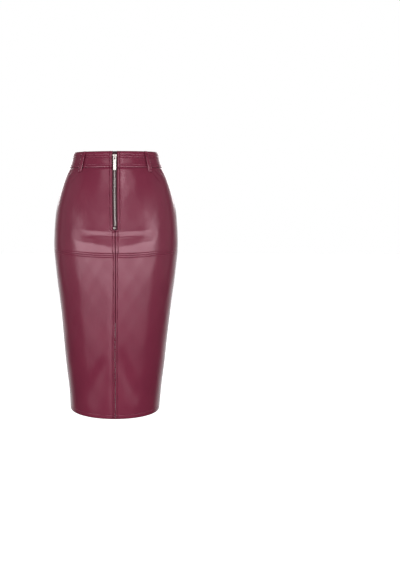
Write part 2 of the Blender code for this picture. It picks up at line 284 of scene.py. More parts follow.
def bellyRise(distance, height):
    belly = form["belly"]
    share = np.clip(np.abs(distance) / belly["reach"], 0, 1)
    line = belly["end"] + (belly["start"] - belly["end"]) * share
    steep = np.clip(belly["start"] - height, 0, belly["start"] - line) * belly["slope"]
    return steep * (1 - smoothStep(0, belly["fade"], line - height))


def pucker(along, phase):
    # the uneven pull of a row of stitches, around 1
    return 1 + sum(size * np.sin(along / wide + turns * phase) for size, wide, turns in puckers)


# materials


def inMillimetres(tree):
    # object coordinates for a texture's Vector input, so that its scale of 1 is one millimetre
    where = addNode(tree, "ShaderNodeTexCoord").outputs["Object"]
    scale = addNode(tree, "ShaderNodeVectorMath", {"operation": "SCALE", "Scale": 1 / mm}, {0: where})
    return {"Vector": scale.outputs["Vector"]}


def blendColours(tree, shader, share, low, high):
    ramp = addNode(tree, "ShaderNodeValToRGB", {}, {"Fac": share})
    for element, place, colour in zip(ramp.color_ramp.elements, noiseSpan, (low, high)):
        element.position = place
        element.color = linearColour(colour)
    tree.links.new(ramp.outputs["Color"], shader.inputs["Base Color"])


def bumps(tree, shader, *layers):
    # each layer: height socket, depth in millimetres, strength
    normal = {}
    for height, depth, strength in layers:
        bump = addNode(tree, "ShaderNodeBump", {"Distance": depth * mm, "Strength": strength},
                       {"Height": height, **normal})
        normal = {"Normal": bump.outputs["Normal"]}
    tree.links.new(normal["Normal"], shader.inputs["Normal"])


def vary(tree, shader, name, share, low, high):
    spread = addNode(tree, "ShaderNodeMapRange",
                     {"From Min": noiseSpan[0], "From Max": noiseSpan[1], "To Min": low, "To Max": high},
                     {"Value": share})
    tree.links.new(spread.outputs["Result"], shader.inputs[name])


# colours run from the darkest to the lightest, roughness from the least to the most, sizes in millimetres

leatherLook = {
    "colours": ("782B41", "7C2D43"),
    "shine": (1.0, 0.67, 0.76, 1.0),  # tint of its highlights
    "roughness": (0.19, 0.215),
    "patchSize": 55,
    "grainSize": 0.9,
    "grainDepth": 0.03,
    "unevenSize": 7.0,
    "unevenDepth": 0.10,
}

knitLook = {
    "colours": ("3A1A27", "46222F"),
    "roughness": (0.85, 0.95),
    "shadeSize": 4.0,
    "wearSize": 9.0,
    "loopSize": 0.8,
    "loopDepth": 0.20,
}

threadLook = {
    "colours": ("74283F", "984860"),
    "roughness": (0.45, 0.6),
    "twistSize": 0.35,
    "twistDepth": 0.08,
}

tapeLook = {
    "colours": ("35111C", "451A28"),
    "roughness": (0.75, 0.9),
    "wearSize": 3.0,
    "weaveScale": 1.1,  # its diagonal bands are about 0.33 mm apart
    "weaveDepth": 0.12,
}

nickelLook = {
    "polished": {"colours": ("938E8A", "9F9A96"), "roughness": (0.13, 0.22)},
    "tumbled": {"colours": ("E4DFDA", "F2EEEA"), "roughness": (0.30, 0.40)},
    "wearSize": 2.0,
    "grainSize": 0.4,
    "grainDepth": 0.01,
}


def coatedLeather():
    # polyurethane-coated leather: deep burgundy, embossed with a fine grain, with a broad satin gloss
    material, tree, shader = newMaterial("coated leather", IOR=1.5, Coat_Weight=0.10, Coat_Roughness=0.20)
    shader.inputs["Specular Tint"].default_value = leatherLook["shine"]
    where = inMillimetres(tree)
    patches = addNode(tree, "ShaderNodeTexNoise", {"Scale": 1 / leatherLook["patchSize"], "Detail": 3.0},
                      where)
    pebbles = addNode(tree, "ShaderNodeTexVoronoi", {"Scale": 1 / leatherLook["grainSize"]}, where)
    uneven = addNode(tree, "ShaderNodeTexNoise", {"Scale": 1 / leatherLook["unevenSize"]}, where)
    blendColours(tree, shader, patches.outputs["Fac"], *leatherLook["colours"])
    vary(tree, shader, "Roughness", patches.outputs["Fac"], *leatherLook["roughness"])
    bumps(tree, shader, (pebbles.outputs["Distance"], leatherLook["grainDepth"], 0.35),
          (uneven.outputs["Fac"], leatherLook["unevenDepth"], 0.3))
    return material


def knitBacking():
    # brushed polyester knit glued to the back of the leather: dark and quite matt
    material, tree, shader = newMaterial("knit backing")
    where = inMillimetres(tree)
    shades = addNode(tree, "ShaderNodeTexNoise", {"Scale": 1 / knitLook["shadeSize"]}, where)
    wear = addNode(tree, "ShaderNodeTexNoise", {"Scale": 1 / knitLook["wearSize"]}, where)
    loops = addNode(tree, "ShaderNodeTexVoronoi", {"Scale": 1 / knitLook["loopSize"]}, where)
    blendColours(tree, shader, shades.outputs["Fac"], *knitLook["colours"])
    vary(tree, shader, "Roughness", wear.outputs["Fac"], *knitLook["roughness"])
    bumps(tree, shader, (loops.outputs["Distance"], knitLook["loopDepth"], 0.6))
    return material


def polyesterThread():
    # twisted polyester topstitch thread, matched to the leather and a little more matt
    material, tree, shader = newMaterial("polyester thread")
    where = inMillimetres(tree)
    twist = addNode(tree, "ShaderNodeTexNoise", {"Scale": 1 / threadLook["twistSize"]}, where).outputs["Fac"]
    blendColours(tree, shader, twist, *threadLook["colours"])
    vary(tree, shader, "Roughness", twist, *threadLook["roughness"])
    bumps(tree, shader, (twist, threadLook["twistDepth"], 0.7))
    return material


def polyesterTape():
    # woven polyester zip tape in diagonal bands, dark burgundy and matt
    material, tree, shader = newMaterial("polyester zip tape")
    where = inMillimetres(tree)
    weave = addNode(tree, "ShaderNodeTexWave", {"Scale": tapeLook["weaveScale"], "Distortion": 0.6,
                                                "bands_direction": "DIAGONAL"}, where)
    wear = addNode(tree, "ShaderNodeTexNoise", {"Scale": 1 / tapeLook["wearSize"]}, where)
    blendColours(tree, shader, weave.outputs["Fac"], *tapeLook["colours"])
    vary(tree, shader, "Roughness", wear.outputs["Fac"], *tapeLook["roughness"])
    bumps(tree, shader, (weave.outputs["Fac"], tapeLook["weaveDepth"], 0.6))
    return material


def platedNickel(name, finish):
    # nickel plate, polished or tumbled: bright and slightly warm, with faint wear
    material, tree, shader = newMaterial(name, Metallic=1.0)
    where = inMillimetres(tree)
    wear = addNode(tree, "ShaderNodeTexNoise", {"Scale": 1 / nickelLook["wearSize"], "Detail": 4.0}, where)
    grain = addNode(tree, "ShaderNodeTexNoise", {"Scale": 1 / nickelLook["grainSize"]}, where)
    blendColours(tree, shader, wear.outputs["Fac"], *nickelLook[finish]["colours"])
    vary(tree, shader, "Roughness", wear.outputs["Fac"], *nickelLook[finish]["roughness"])
    bumps(tree, shader, (grain.outputs["Fac"], nickelLook["grainDepth"], 0.4))
    return material


leather = coatedLeather()
backing = knitBacking()
thread = polyesterThread()
tapeCloth = polyesterTape()
nickel = platedNickel("nickel-plated zinc", "polished")  # slider, pull tab and stop
toothNickel = platedNickel("nickel-plated brass", "tumbled")
print("materials made")

# meshes

skirtPieces = []


def addPiece(name, points, faces, materials, replaces=()):
    # points in millimetres
    mesh = bpy.data.meshes.new(name)
    mesh.from_pydata((np.asarray(points).reshape(-1, 3) * mm).tolist(), [], faces)
    made = bpy.data.objects.new(name, mesh)
    bpy.context.scene.collection.objects.link(made)
    for material in materials:
        mesh.materials.append(material)
    mesh.shade_smooth()
    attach(made, "skirt")
    if replaces:
        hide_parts(*replaces)
    skirtPieces.append(made)
    return made


def addSheet(name, points, hand, wall, materials, replaces):
    # a grid of points, thickened inwards
    rowCount, columnCount = points.shape[:2]
    index = np.arange(rowCount * columnCount).reshape(rowCount, columnCount)
    corners = [index[:-1, :-1], index[1:, :-1], index[1:, 1:], index[:-1, 1:]]
    quads = np.stack([c.ravel() for c in (corners if hand > 0 else corners[::-1])], -1)
    made = addPiece(name, points, quads.tolist(), materials, replaces=replaces)
    solid = made.modifiers.new("thickness", "SOLIDIFY")
    solid.thickness = wall * mm
    solid.offset = -1.0
    solid.material_offset = len(materials) - 1
    declareSheet(made, points)


def declareSheet(made, points):
    # the flat cut of what shows, its turned edges included
    across = np.linalg.norm(np.diff(points, axis=1), axis=-1).sum(axis=1).max() * mm
    down = np.linalg.norm(np.diff(points, axis=0), axis=-1).sum(axis=0).max() * mm
    sideA, sideB = np.diff(points, axis=1)[:-1], np.diff(points, axis=0)[:, :-1]
    area = np.linalg.norm(np.cross(sideA, sideB), axis=-1).sum() * mm * mm
    flat = (round(float(across), 3), round(float(down), 3))
    area = min(float(area), flat[0] * flat[1])
    print(f"{made.name}: flat {flat[0]:.3f} x {flat[1]:.3f} m, area {area:.4f} m2")


def ringFaces(ringCount, ringSize):
    # a closed skin over rings of points
    index = np.arange(ringCount * ringSize).reshape(ringCount, ringSize)
    following = np.roll(index, -1, axis=1)
    around = np.stack([index[:-1], following[:-1], following[1:], index[1:]], -1).reshape(-1, 4)
    return around.tolist() + [index[0, ::-1].tolist(), index[-1].tolist()]


def joinedCopies(points, faces, origins, axes):
    # one mesh from many copies of a small one; axes holds each copy's X, Y and Z
    placed = origins[:, None, :] + np.einsum("pk,nkc->npc", points, axes)
    count = len(points)
    joined = [tuple(i + n * count for i in face) for n in range(len(origins)) for face in faces]
    return placed.reshape(-1, 3), joined


# leather panels, sewn from borders: lanes of points that follow an edge, with plain leather between them

panelCut = {
    "foldRadius": 1.9,  # of the leather where it turns under at an edge
    "foldPress": (0.90, 1.8),  # how deep a turned edge is pressed down, and over what distance
    "seamRadius": 0.7,  # where two pieces are seamed edge to edge
    "leather": 0.9,  # thickness
    "turnUnder": 9.0,  # seam allowance that shows inside
    "hemTurn": 28.0,
    # swell between a seam and its stitching, depth and half width of the groove that the stitches pull, and
    # the ridge beyond it
    "upright": (0.26, 1.45, 0.85, 0.28),
    "level": (0.02, 0.80, 0.60, 0.03),
    "band": (0.26, 0.80, 0.60, 0.16),
    "ridgePlace": (2.0, 1.1),  # how far the ridge lies beyond the stitching, and its half width
    "tuck": (1.0, 3.0),  # how far the yoke's top lies under the waistband, and over what distance
    # how far each border reaches from its edge
    "reach": {"plain": 5.0, "tucked": 9.0, "centre": 14.0, "skirtTop": 16.0, "hem": 14.5, "bandTop": 19.5,
              "bandSeam": 9.0},
    "middleColumns": 52,
    "deepestFold": -2.4,
    # rows flatten at the side seams: the least share of them that is left, and between which cosines of
    # the angle from the centre they rise to the whole
    "sideEase": (0.1, 0.05, 0.40),
}

laneCut = {
    "even": 8,  # lanes over the whole of a border
    # further lanes around each row of stitches
    "beside": (-2.5, -1.9, -1.4, -0.95, -0.5, 0.0, 0.5, 0.95, 1.4, 1.9, 2.5),
    "apart": 0.25,  # the least distance between two lanes
    "offFold": 0.2,
}

stitching = {
    # distance of each row from its edge
    "centreFront": 5.3,
    "zip": 6.8,
    "centreBack": 5.3,
    "yoke": (5.3, 10.5),
    "hem": 10.8,
    "bandTop": (10.8, 17.2),
    "bandSeam": 5.5,
    # heights between which an upright row runs, and how many points lead it
    "frontRun": (-218.5, -679.0, 180),
    "zipRun": (-10.5, -214.0, 100),
    "backRun": (-37.0, -384.0, 150),
    "ventRun": (-385.0, -668.0, 120),
    # distance from the centre line at which a level row starts, at the front and at the back
    "yokeStart": (8.0, 6.8),
    "hemStart": (1.0, 12.0),
    "bandClear": 1.0,  # between the row beside the zip and the start of the waistband's rows
    "sideClear": 1.5,  # between the end of a level row and the side seam
    "levelPoints": 90,
    # how deep the thread lies in its groove
    "uprightSink": 1.05,
    "levelSink": 0.26,
    "pitch": 3.2,
    "stitch": 2.5,
    "firstStitch": 0.3,
    "threadThickness": 0.5,
    # height, rise, half width, number of turns and half height of the zigzags across the centre lines
    "zipTack": (-211.9, 0.90, 6.2, 31, 1.2),
    "ventTack": (-386.0, 0.15, 6.0, 29, 0.9),
}

seamGap = 0.04  # half the slit where two turned edges meet
sideGap = 0.02  # between a panel's edge and the side seam's plane
zipOpening = {"halfGap": 6.0, "end": -210.8, "slope": 3.0}
ventRows = ((-710, 3.8), (-640, 3.7), (-550, 3.2), (-460, 2.0), (-420, 0.6), (-385, seamGap))


def foldLanes(r, turn, steps, hidden=()):
    # lanes over a folded edge: distance and rise; turn is how far round the fold they start
    turns = [turn * (1 - i / steps) for i in range(steps + 1)]
    return [(d, -2 * r) for d in hidden] + [(r - r * math.sin(a), -r * (1 - math.cos(a))) for a in turns]


def turnedEdge(turnUnder):
    return foldLanes(panelCut["foldRadius"], math.pi, 6, [turnUnder * share for share in (1.0, 0.6, 0.3)])


def rolledEdge():
    return foldLanes(panelCut["seamRadius"], math.pi / 2, 3)


def borderRise(distance, stitches, relief):
    # the swell and pull of the leather beside a stitched edge
    rise = 0.0
    puff, groove, width, ridge = relief
    start = panelCut["seamRadius"]
    for stitch in stitches:
        if start < distance < stitch:
            rise += puff * math.sin(math.pi * (distance - start) / (stitch - start))
        rise -= groove * math.exp(-((distance - stitch) / width) ** 2)
        start = stitch
    if stitches:
        beyond, spread = panelCut["ridgePlace"]
        rise += ridge * math.exp(-((distance - start - beyond) / spread) ** 2)
    return rise


def border(edge, stitches, reach, relief):
    # lanes of a border: distance from the edge, rise of the fold, rise of the stitching
    r = panelCut["foldRadius"]
    places = [r + (reach - r) * i / laneCut["even"] for i in range(1, laneCut["even"] + 1)]
    for stitch in stitches:
        places += [stitch + step for step in laneCut["beside"]]
    kept = []
    for place in sorted(p for p in places if r + laneCut["offFold"] < p <= reach):
        if not kept or place - kept[-1] > laneCut["apart"]:
            kept.append(place)
    lanes = [(d, rise, 0.0) for d, rise in edge]
    lanes += [(d, 0.0, borderRise(d, stitches, relief)) for d in kept]
    return lanes, reach


def plainBorder(relief):
    return border(rolledEdge(), (), panelCut["reach"]["plain"], relief)


def pressedBorder(stitch):
    # the border along a centre edge, its fold pressed well down
    lanes, reach = border(turnedEdge(panelCut["turnUnder"]), (stitch,), panelCut["reach"]["centre"],
                          panelCut["upright"])
    press, fade = panelCut["foldPress"]
    return [(d, fold - press * math.exp(-(d / fade) ** 2), seam) for d, fold, seam in lanes], reach


def tuckedBorder():
    # the top of the yoke, which lies a little under the waistband
    lanes, reach = border(rolledEdge(), (), panelCut["reach"]["tucked"], panelCut["level"])
    tuck, fade = panelCut["tuck"]
    return [(d, fold, seam - tuck * math.exp(-(d / fade) ** 2)) for d, fold, seam in lanes], reach


def laneTable(first, last, middleCount):
    # lanes from one edge to the other: kind (0 near the first edge, 2 near the last), place and rises
    middle = [(share, 0.0, 0.0) for share in np.linspace(0, 1, middleCount + 2)[1:-1]]
    kinds = [0] * len(first[0]) + [1] * middleCount + [2] * len(last[0])
    return np.column_stack([kinds, np.array(first[0] + middle + last[0][::-1])]), first[1], last[1]


def lanePlaces(lanes, length):
    table, reachFirst, reachLast = lanes
    kinds, values = table[:, 0], table[:, 1]
    between = reachFirst + (length - reachLast - reachFirst) * values
    return np.where(kinds == 0, values, np.where(kinds == 1, between, length - values))


def closedEdge(height):
    return np.full(np.shape(height), seamGap)


def zipEdge(height):
    closing = np.clip((zipOpening["end"] - height) / zipOpening["slope"], 0, 1)
    return zipOpening["halfGap"] + (seamGap - zipOpening["halfGap"]) * closing


def ventEdge(height):
    return np.interp(height, [row[0] for row in ventRows], [row[1] for row in ventRows])


def sideEnd(back):
    return lambda height: quarterLength(height, back) - sideGap


def farSideEnd(height):
    # the other end of a strip that runs right round the back
    return sideGap - quarterLength(height, True)


def panelPoints(side, back, top, bottom, start, end, columns, rows, centreFade, deepest):
    # a grid of points between two seams; start and end give its edges' distances from the centre line,
    # centreFade how far from its centre edge level rows are whole and what share is lost before that
    middle = np.full(len(columns[0]), -(form[top][0] + form[bottom][0]) / 2)
    nominal = lanePlaces(columns, end(middle)[0] - start(middle)[0]) + start(middle)[0]
    across = angleAt(nominal, middle, back)
    upper, lower = seamHeight(top, across), seamHeight(bottom, across)
    kinds, columnFold, columnSeam = columns[0][:, 0], columns[0][:, 2], columns[0][:, 3]
    spans = np.array([lanePlaces(rows, span) for span in upper - lower]).T
    least, easeStart, easeEnd = panelCut["sideEase"]
    sideEase = least + (1 - least) * smoothStep(easeStart, easeEnd, np.abs(np.cos(across)))
    wholeFrom, lost = centreFade
    points = []
    for down, (roll, seam) in zip(spans, rows[0][:, 2:]):
        height = upper - down
        first = start(height)
        places = lanePlaces(columns, end(height) - first) + first
        pastCentre = smoothStep(wholeFrom - 1.0, wholeFrom + 1.0, np.abs(places) - first)
        fade = np.where(kinds == 2, 1.0, 1 - lost * (1 - pastCentre)) * sideEase
        fold = np.maximum(columnFold + roll, deepest)
        swell = columnSeam * pucker(height, side + back) + seam * fade * pucker(places, side + 2 * back)
        press = reliefAt("back" if back else "front", side * places, height)
        points.append(pointAt(angleAt(side * places, height, back), height, fold + swell - press)[0])
    return np.array(points)


def makePanels():
    level, reach = panelCut["level"], panelCut["reach"]
    plain = plainBorder(level)
    tucked = tuckedBorder()
    skirtTop = border(rolledEdge(), stitching["yoke"], reach["skirtTop"], level)
    hem = border(turnedEdge(panelCut["hemTurn"]), (stitching["hem"],), reach["hem"], level)
    panels = (
        # name, back, seams, centre edge, its stitching, borders, rows, centre fade
        ("front_yoke", False, "bandSeam", "yokeSeam", zipEdge, "zip", tucked, plain, 68, (7.0, 0.0)),
        ("back_yoke", True, "bandSeam", "yokeSeam", closedEdge, "centreBack", tucked, plain, 52, (7.0, 0.0)),
        ("front_skirt", False, "yokeSeam", "hem", closedEdge, "centreFront", skirtTop, hem, 100, (7.4, 0.7)),
        ("back_skirt", True, "yokeSeam", "hem", ventEdge, "centreBack", skirtTop, hem, 100, (6.2, 0.7)),
    )
    for name, back, top, bottom, edge, row, topBorder, bottomBorder, rowCount, centreFade in panels:
        columns = laneTable(pressedBorder(stitching[row]), plain, panelCut["middleColumns"])
        rows = laneTable(topBorder, bottomBorder, rowCount)
        for side, word in ((1, "left"), (-1, "right")):
            points = panelPoints(side, back, top, bottom, edge, sideEnd(back), columns, rows, centreFade,
                                 panelCut["deepestFold"])
            addSheet(f"{name}_{word}_leather", points, side * (-1 if back else 1), panelCut["leather"],
                     (leather, backing), (f"{name}_{word}",))


bandCut = {
    "wall": 2.4,
    "inside": (37.5, 30.0, 20.0, 10.0, 4.0),  # lanes of its inner face, down from the top edge
    "foldSteps": 8,
    "brow": (1.4, 3.0),  # how far it leans in along its top edge, and over what distance
    "middleRows": 5,
    "frontColumns": 44,
    "backColumns": 96,
    "zipFade": (7.4, 1.0),
    "backFade": (0.0, 0.0),  # its rows run right round
    "deepestFold": -3.2,
}


def waistbandRows():
    # inner face, rounded top edge and outer face as one folded strip
    relief, reach = panelCut["band"], panelCut["reach"]
    r, steps = bandCut["wall"] / 2, bandCut["foldSteps"]
    inner = [(d, -2 * r, 0.0) for d in bandCut["inside"]]
    turns = [math.pi * i / steps for i in range(steps + 1)]
    topFold = [(r - r * math.sin(a), -r * (1 + math.cos(a)), 0.0) for a in turns]
    outer = border([], stitching["bandTop"], reach["bandTop"], relief)[0]
    brow, fade = bandCut["brow"]
    whole = [(d, fold - brow * math.exp(-(d / fade) ** 2), seam) for d, fold, seam in topFold + outer]
    bottom = border(rolledEdge(), (stitching["bandSeam"],), reach["bandSeam"], relief)
    return laneTable((inner + whole, reach["bandTop"]), bottom, bandCut["middleRows"])


def makeWaistband():
    rows, plain = waistbandRows(), plainBorder(panelCut["band"])
    front = laneTable(pressedBorder(stitching["zip"]), plain, bandCut["frontColumns"])
    allRound = laneTable(plain, plain, bandCut["backColumns"])
    strips = (
        # name, side, back, where it starts, columns, centre fade, hand
        ("waistband_front_left", 1, False, zipEdge, front, bandCut["zipFade"], 1),
        ("waistband_front_right", -1, False, zipEdge, front, bandCut["zipFade"], -1),
        ("waistband_back", 1, True, farSideEnd, allRound, bandCut["backFade"], -1),
    )
    for name, side, back, start, columns, centreFade, hand in strips:
        points = panelPoints(side, back, "topEdge", "bandSeam", start, sideEnd(back), columns, rows,
                             centreFade, bandCut["deepestFold"])
        addSheet(f"{name}_leather", points, hand, panelCut["leather"], (leather,), (name,))


makePanels()
makeWaistband()
print("leather made")

# stitches

segments = {}  # group of stitches to lists of starts, ends and normals


def stitchRow(group, points, normals):
    # even stitches along a line of points
    lengths = np.concatenate([[0], np.cumsum(np.linalg.norm(np.diff(points, axis=0), axis=1))])
    count = int((lengths[-1] - stitching["stitch"]) / stitching["pitch"]) + 1
    starts = np.arange(count) * stitching["pitch"] + stitching["firstStitch"]
    kept = segments.setdefault(group, [])
    for offset in (0.0, stitching["stitch"]):
        kept.append(np.stack([np.interp(starts + offset, lengths, points[:, k]) for k in range(3)], -1))
    kept.append(np.stack([np.interp(starts, lengths, normals[:, k]) for k in range(3)], -1))


def barTack(group, place, across, half):
    # a dense zigzag of thread; place gives a point and normal for a distance across and along
    points, normals = place(across, half * (-1.0) ** np.arange(len(across)))
    segments.setdefault(group, []).extend([points[:-1], points[1:], normals[:-1]])


def centreTack(group, back, tack):
    middle, rise, halfWidth, turns, half = stitching[tack]
    barTack(group, lambda x, d: pointAt(angleAt(x, middle + d, back), middle + d, rise),
            np.linspace(-halfWidth, halfWidth, turns), half)


def skinRow(group, back, distance, height, rise):
    distance, height = np.broadcast_arrays(np.asarray(distance, float), np.asarray(height, float))
    press = reliefAt("back" if back else "front", distance, height)
    stitchRow(group, *pointAt(angleAt(distance, height, back), height, rise - press))


def seamRow(group, back, seam, offset, start):
    # a row of stitches that follows a seam on both sides of the centre line
    for side in (-1, 1):
        share = np.linspace(0, 1, stitching["levelPoints"])
        middle = np.full(stitching["levelPoints"], -form[seam][0])
        end = quarterLength(middle, back) - stitching["sideClear"]
        distance = start + (end - start) * share
        height = seamHeight(seam, angleAt(distance, middle, back)) - offset
        skinRow(group, back, side * distance, height, -stitching["levelSink"])


def sewRows():
    sink = -stitching["uprightSink"]
    ventHeights = np.linspace(*stitching["ventRun"])
    for side in (-1, 1):
        skinRow("front", False, side * stitching["centreFront"], np.linspace(*stitching["frontRun"]), sink)
        skinRow("front", False, side * (zipOpening["halfGap"] + stitching["zip"]),
                np.linspace(*stitching["zipRun"]), sink)
        skinRow("back", True, side * stitching["centreBack"], np.linspace(*stitching["backRun"]), sink)
        skinRow("back", True, side * (ventEdge(ventHeights) + stitching["centreBack"]), ventHeights, sink)
    for back, word in ((False, "front"), (True, "back")):
        bandStart = 0.0 if back else zipOpening["halfGap"] + stitching["zip"] + stitching["bandClear"]
        for offset in stitching["bandTop"]:
            seamRow("band", back, "topEdge", offset, bandStart)
        seamRow("band", back, "bandSeam", -stitching["bandSeam"], bandStart)
        for offset in stitching["yoke"]:
            seamRow(word, back, "yokeSeam", offset, stitching["yokeStart"][back])
        seamRow("hem", back, "hem", -stitching["hem"], stitching["hemStart"][back])
    centreTack("front", False, "zipTack")
    centreTack("back", True, "ventTack")


def stitchTemplate():
    # one stitch of length 1, as rings: place along it, share of the thread's radius, lift in thread widths
    rings = ((-0.5, 0.45, -0.35), (-0.36, 0.9, 0.0), (0.0, 1.0, 0.12), (0.36, 0.9, 0.0), (0.5, 0.45, -0.35))
    around = [math.tau * i / 6 for i in range(6)]
    radius = stitching["threadThickness"] / 2
    points = [(x, radius * size * math.cos(a), radius * size * math.sin(a) + lift * radius * 2)
              for x, size, lift in rings for a in around]
    return np.array(points), ringFaces(len(rings), len(around))


def makeThreads():
    template, faces = stitchTemplate()
    for group, parts in segments.items():
        starts, ends, normals = (np.concatenate(parts[k::3]) for k in range(3))
        along = ends - starts
        length = np.linalg.norm(along, axis=1, keepdims=True)
        sideways = np.cross(normals, along / length)
        sideways /= np.linalg.norm(sideways, axis=1, keepdims=True)
        upward = np.cross(along / length, sideways)
        axes = np.stack([along, sideways, upward], axis=1)
        points, joined = joinedCopies(template, faces, (starts + ends) / 2, axes)
        addPiece(f"stitches_{group}", points, joined, (thread,))


# belt loops

loopCut = {
    "angles": {"front_left": 43.0, "front_right": -43.0, "back_left": 122.0, "back_right": -122.0,
               "centre_back": 180.0},
    "wall": 2.6,
    "rounding": 1.4,
    # distances from the middle line, out to an edge
    "across": (0.0, 1.1, 1.9, 2.4, 2.7, 3.0, 3.3, 3.6, 4.1, 4.5, 4.8, 5.0),
    # first and last place and number of the points down the strap, closer together at its ends
    "down": ((0.6, 6, 9), (7.5, 47, 24), (48.5, 56, 10)),
    # distance down from the top edge, rise of its inner face
    "path": ((0.6, -0.5), (1.6, 0.2), (4.5, 0.4), (9, 1.9), (15, 3.4), (26, 3.8), (37, 3.4), (45, 2.0),
             (50, 0.9), (54.6, 0.3), (56.0, -0.6)),
    "stitchRow": 3.0,  # from the loop's middle line
    "stitchRun": (2.0, 54.0, 66),  # where the rows start and end, and how many points lead them
    "groove": (0.24, 0.45),  # depth and half width
    "sink": 0.1,
    "tacks": (3.2, 52.0),  # where dense stitching holds it, down from the top edge
    "tackShape": (4.2, 21, 0.9, 0.02),  # half width, turns, half height and rise
}


def loopRing():
    # section across the strap: distance from the middle line, height over the inner face
    half, wall, rounding = loopCut["across"][-1], loopCut["wall"], loopCut["rounding"]
    depth, width = loopCut["groove"]
    upper, lower = [], []
    for place in loopCut["across"]:
        edge = max(0.0, (place - (half - rounding)) / rounding)
        drop = rounding * (1 - math.sqrt(max(0.0, 1 - edge * edge)))
        groove = depth * math.exp(-((place - loopCut["stitchRow"]) / width) ** 2)
        upper.append((place, wall - drop - groove))
        lower.append((place, drop))
    ring = [(-x, z) for x, z in upper[::-1]] + upper[1:] + lower[-2::-2] + [(-x, z) for x, z in lower[2::2]]
    return np.array(ring)


def makeLoops():
    ring, path, wall = loopRing(), np.array(loopCut["path"]), loopCut["wall"]
    down = np.concatenate([np.linspace(*stretch) for stretch in loopCut["down"]])
    rise = curveThrough(path, down)[:, 0]
    steps = np.linspace(*loopCut["stitchRun"])
    halfWidth, turns, half, tackRise = loopCut["tackShape"]
    for name, degrees in loopCut["angles"].items():
        angle = math.radians(degrees)
        top = seamHeight("topEdge", np.array(angle))
        perRadian = lengthPerRadian(angle, top)
        turn = angle + ring[:, 0][None, :] / perRadian
        points = pointAt(turn, top - down[:, None], rise[:, None] + ring[:, 1][None, :])[0]
        addPiece(f"belt_loop_{name}_leather", points, ringFaces(len(down), len(ring)), (leather,),
                 replaces=(f"belt_loop_{name}",))
        for side in (-1, 1):
            lift = curveThrough(path, steps)[:, 0] + wall - loopCut["sink"]
            stitchRow("loops", *pointAt(angle + side * loopCut["stitchRow"] / perRadian, top - steps, lift))
        for place in loopCut["tacks"]:
            lift = curveThrough(path, np.array([place]))[0, 0] + wall + tackRise
            barTack("loops", lambda x, d: pointAt(angle + x / perRadian, top - place - d, lift),
                    np.linspace(-halfWidth, halfWidth, turns), half)


makeLoops()
sewRows()
makeThreads()
print("belt loops and stitches made")

# zip

zipCut = {
    "tapeRun": (-7.0, -216.0, 90),  # heights of the tape's ends, and its number of rows
    "tapeUnder": ((-214, 2.0), (-64, 2.0), (-50, 2.8), (-7.4, 2.8)),  # depth of the tape's outer face
    "tapeWall": 0.8,
    # distances of the tape's threads from the centre line; the cord that the teeth grip is near its edge
    "tapeLanes": (0.0, 0.3, 0.7, 1.1, 1.6, 2.0, 2.4, 3.5, 5.0, 7.0, 9.0, 11.5, 14.5),
    "cordMiddle": 1.3,
    "cordRadius": 0.9,
    "cordHeight": 0.55,
    "toothPitch": 2.5,
    "toothHalf": 0.6,  # half its size along the zip
    # distance from the centre line, share of the half size, half depth
    "toothSections": ((-1.0, 0.55, 0.7), (-0.75, 0.85, 1.0), (0.0, 1.0, 1.15), (0.65, 0.85, 1.1),
                      (1.3, 0.95, 1.3), (2.3, 1.0, 1.35), (2.65, 0.8, 1.1)),
    "chainTop": -20.6,
    "chainEnd": -203.0,
}


def tapeDepth(height):
    rows = zipCut["tapeUnder"]
    return np.interp(height, [row[0] for row in rows], [row[1] for row in rows])


def makeTapes():
    heights = np.linspace(*zipCut["tapeRun"])
    lanes = np.array(zipCut["tapeLanes"])
    roundness = np.sqrt(np.clip(1 - ((lanes - zipCut["cordMiddle"]) / zipCut["cordRadius"]) ** 2, 0, 1))
    rise = -tapeDepth(heights)[:, None] + (zipCut["cordHeight"] * roundness)[None, :]
    for side, word in ((1, "left"), (-1, "right")):
        angle = angleAt(side * lanes[None, :], heights[:, None], False)
        points = pointAt(angle, heights[:, None], rise)[0]
        addSheet(f"zip_tape_{word}_weave", points, side, zipCut["tapeWall"], (tapeCloth,),
                 (f"zip_tape_{word}",))


def toothTemplate():
    # a cast tooth: a rounded head, a narrow neck and a leg clamped on the tape's cord
    corners = [(1, 0.55), (0.6, 1), (-0.6, 1), (-1, 0.55), (-1, -0.55), (-0.6, -1), (0.6, -1), (1, -0.55)]
    sections, half = zipCut["toothSections"], zipCut["toothHalf"]
    points = [(x, a * share * half, b * deep) for x, share, deep in sections for a, b in corners]
    return np.array(points), ringFaces(len(sections), len(corners))


def makeTeeth():
    # the right side's teeth lie between the left side's
    template, faces = toothTemplate()
    pitch, top = zipCut["toothPitch"], zipCut["chainTop"]
    count = int((top - zipCut["chainEnd"]) / pitch)
    for side, word, shift in ((1, "left", 0.0), (-1, "right", 0.5)):
        places = top - (np.arange(count) + shift) * pitch - zipCut["toothHalf"]
        origins, normals = pointAt(np.zeros(count), places, -tapeDepth(places) - zipCut["tapeWall"] / 2)
        sideways = np.tile([float(side), 0.0, 0.0], (count, 1))
        upward = np.cross(normals, [1.0, 0.0, 0.0])
        axes = np.stack([sideways, upward * side, normals], axis=1)
        points, joined = joinedCopies(template, faces, origins, axes)
        addPiece(f"zip_teeth_{word}", points, joined, (toothNickel,),
                 replaces=("zip_chain",) if side > 0 else ())


def polishHardware():
    for name in ("zip_slider", "zip_pull", "zip_bottom_stop"):
        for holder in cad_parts[name].material_slots:
            holder.material = nickel


makeTapes()
makeTeeth()
polishHardware()
print("zip made")


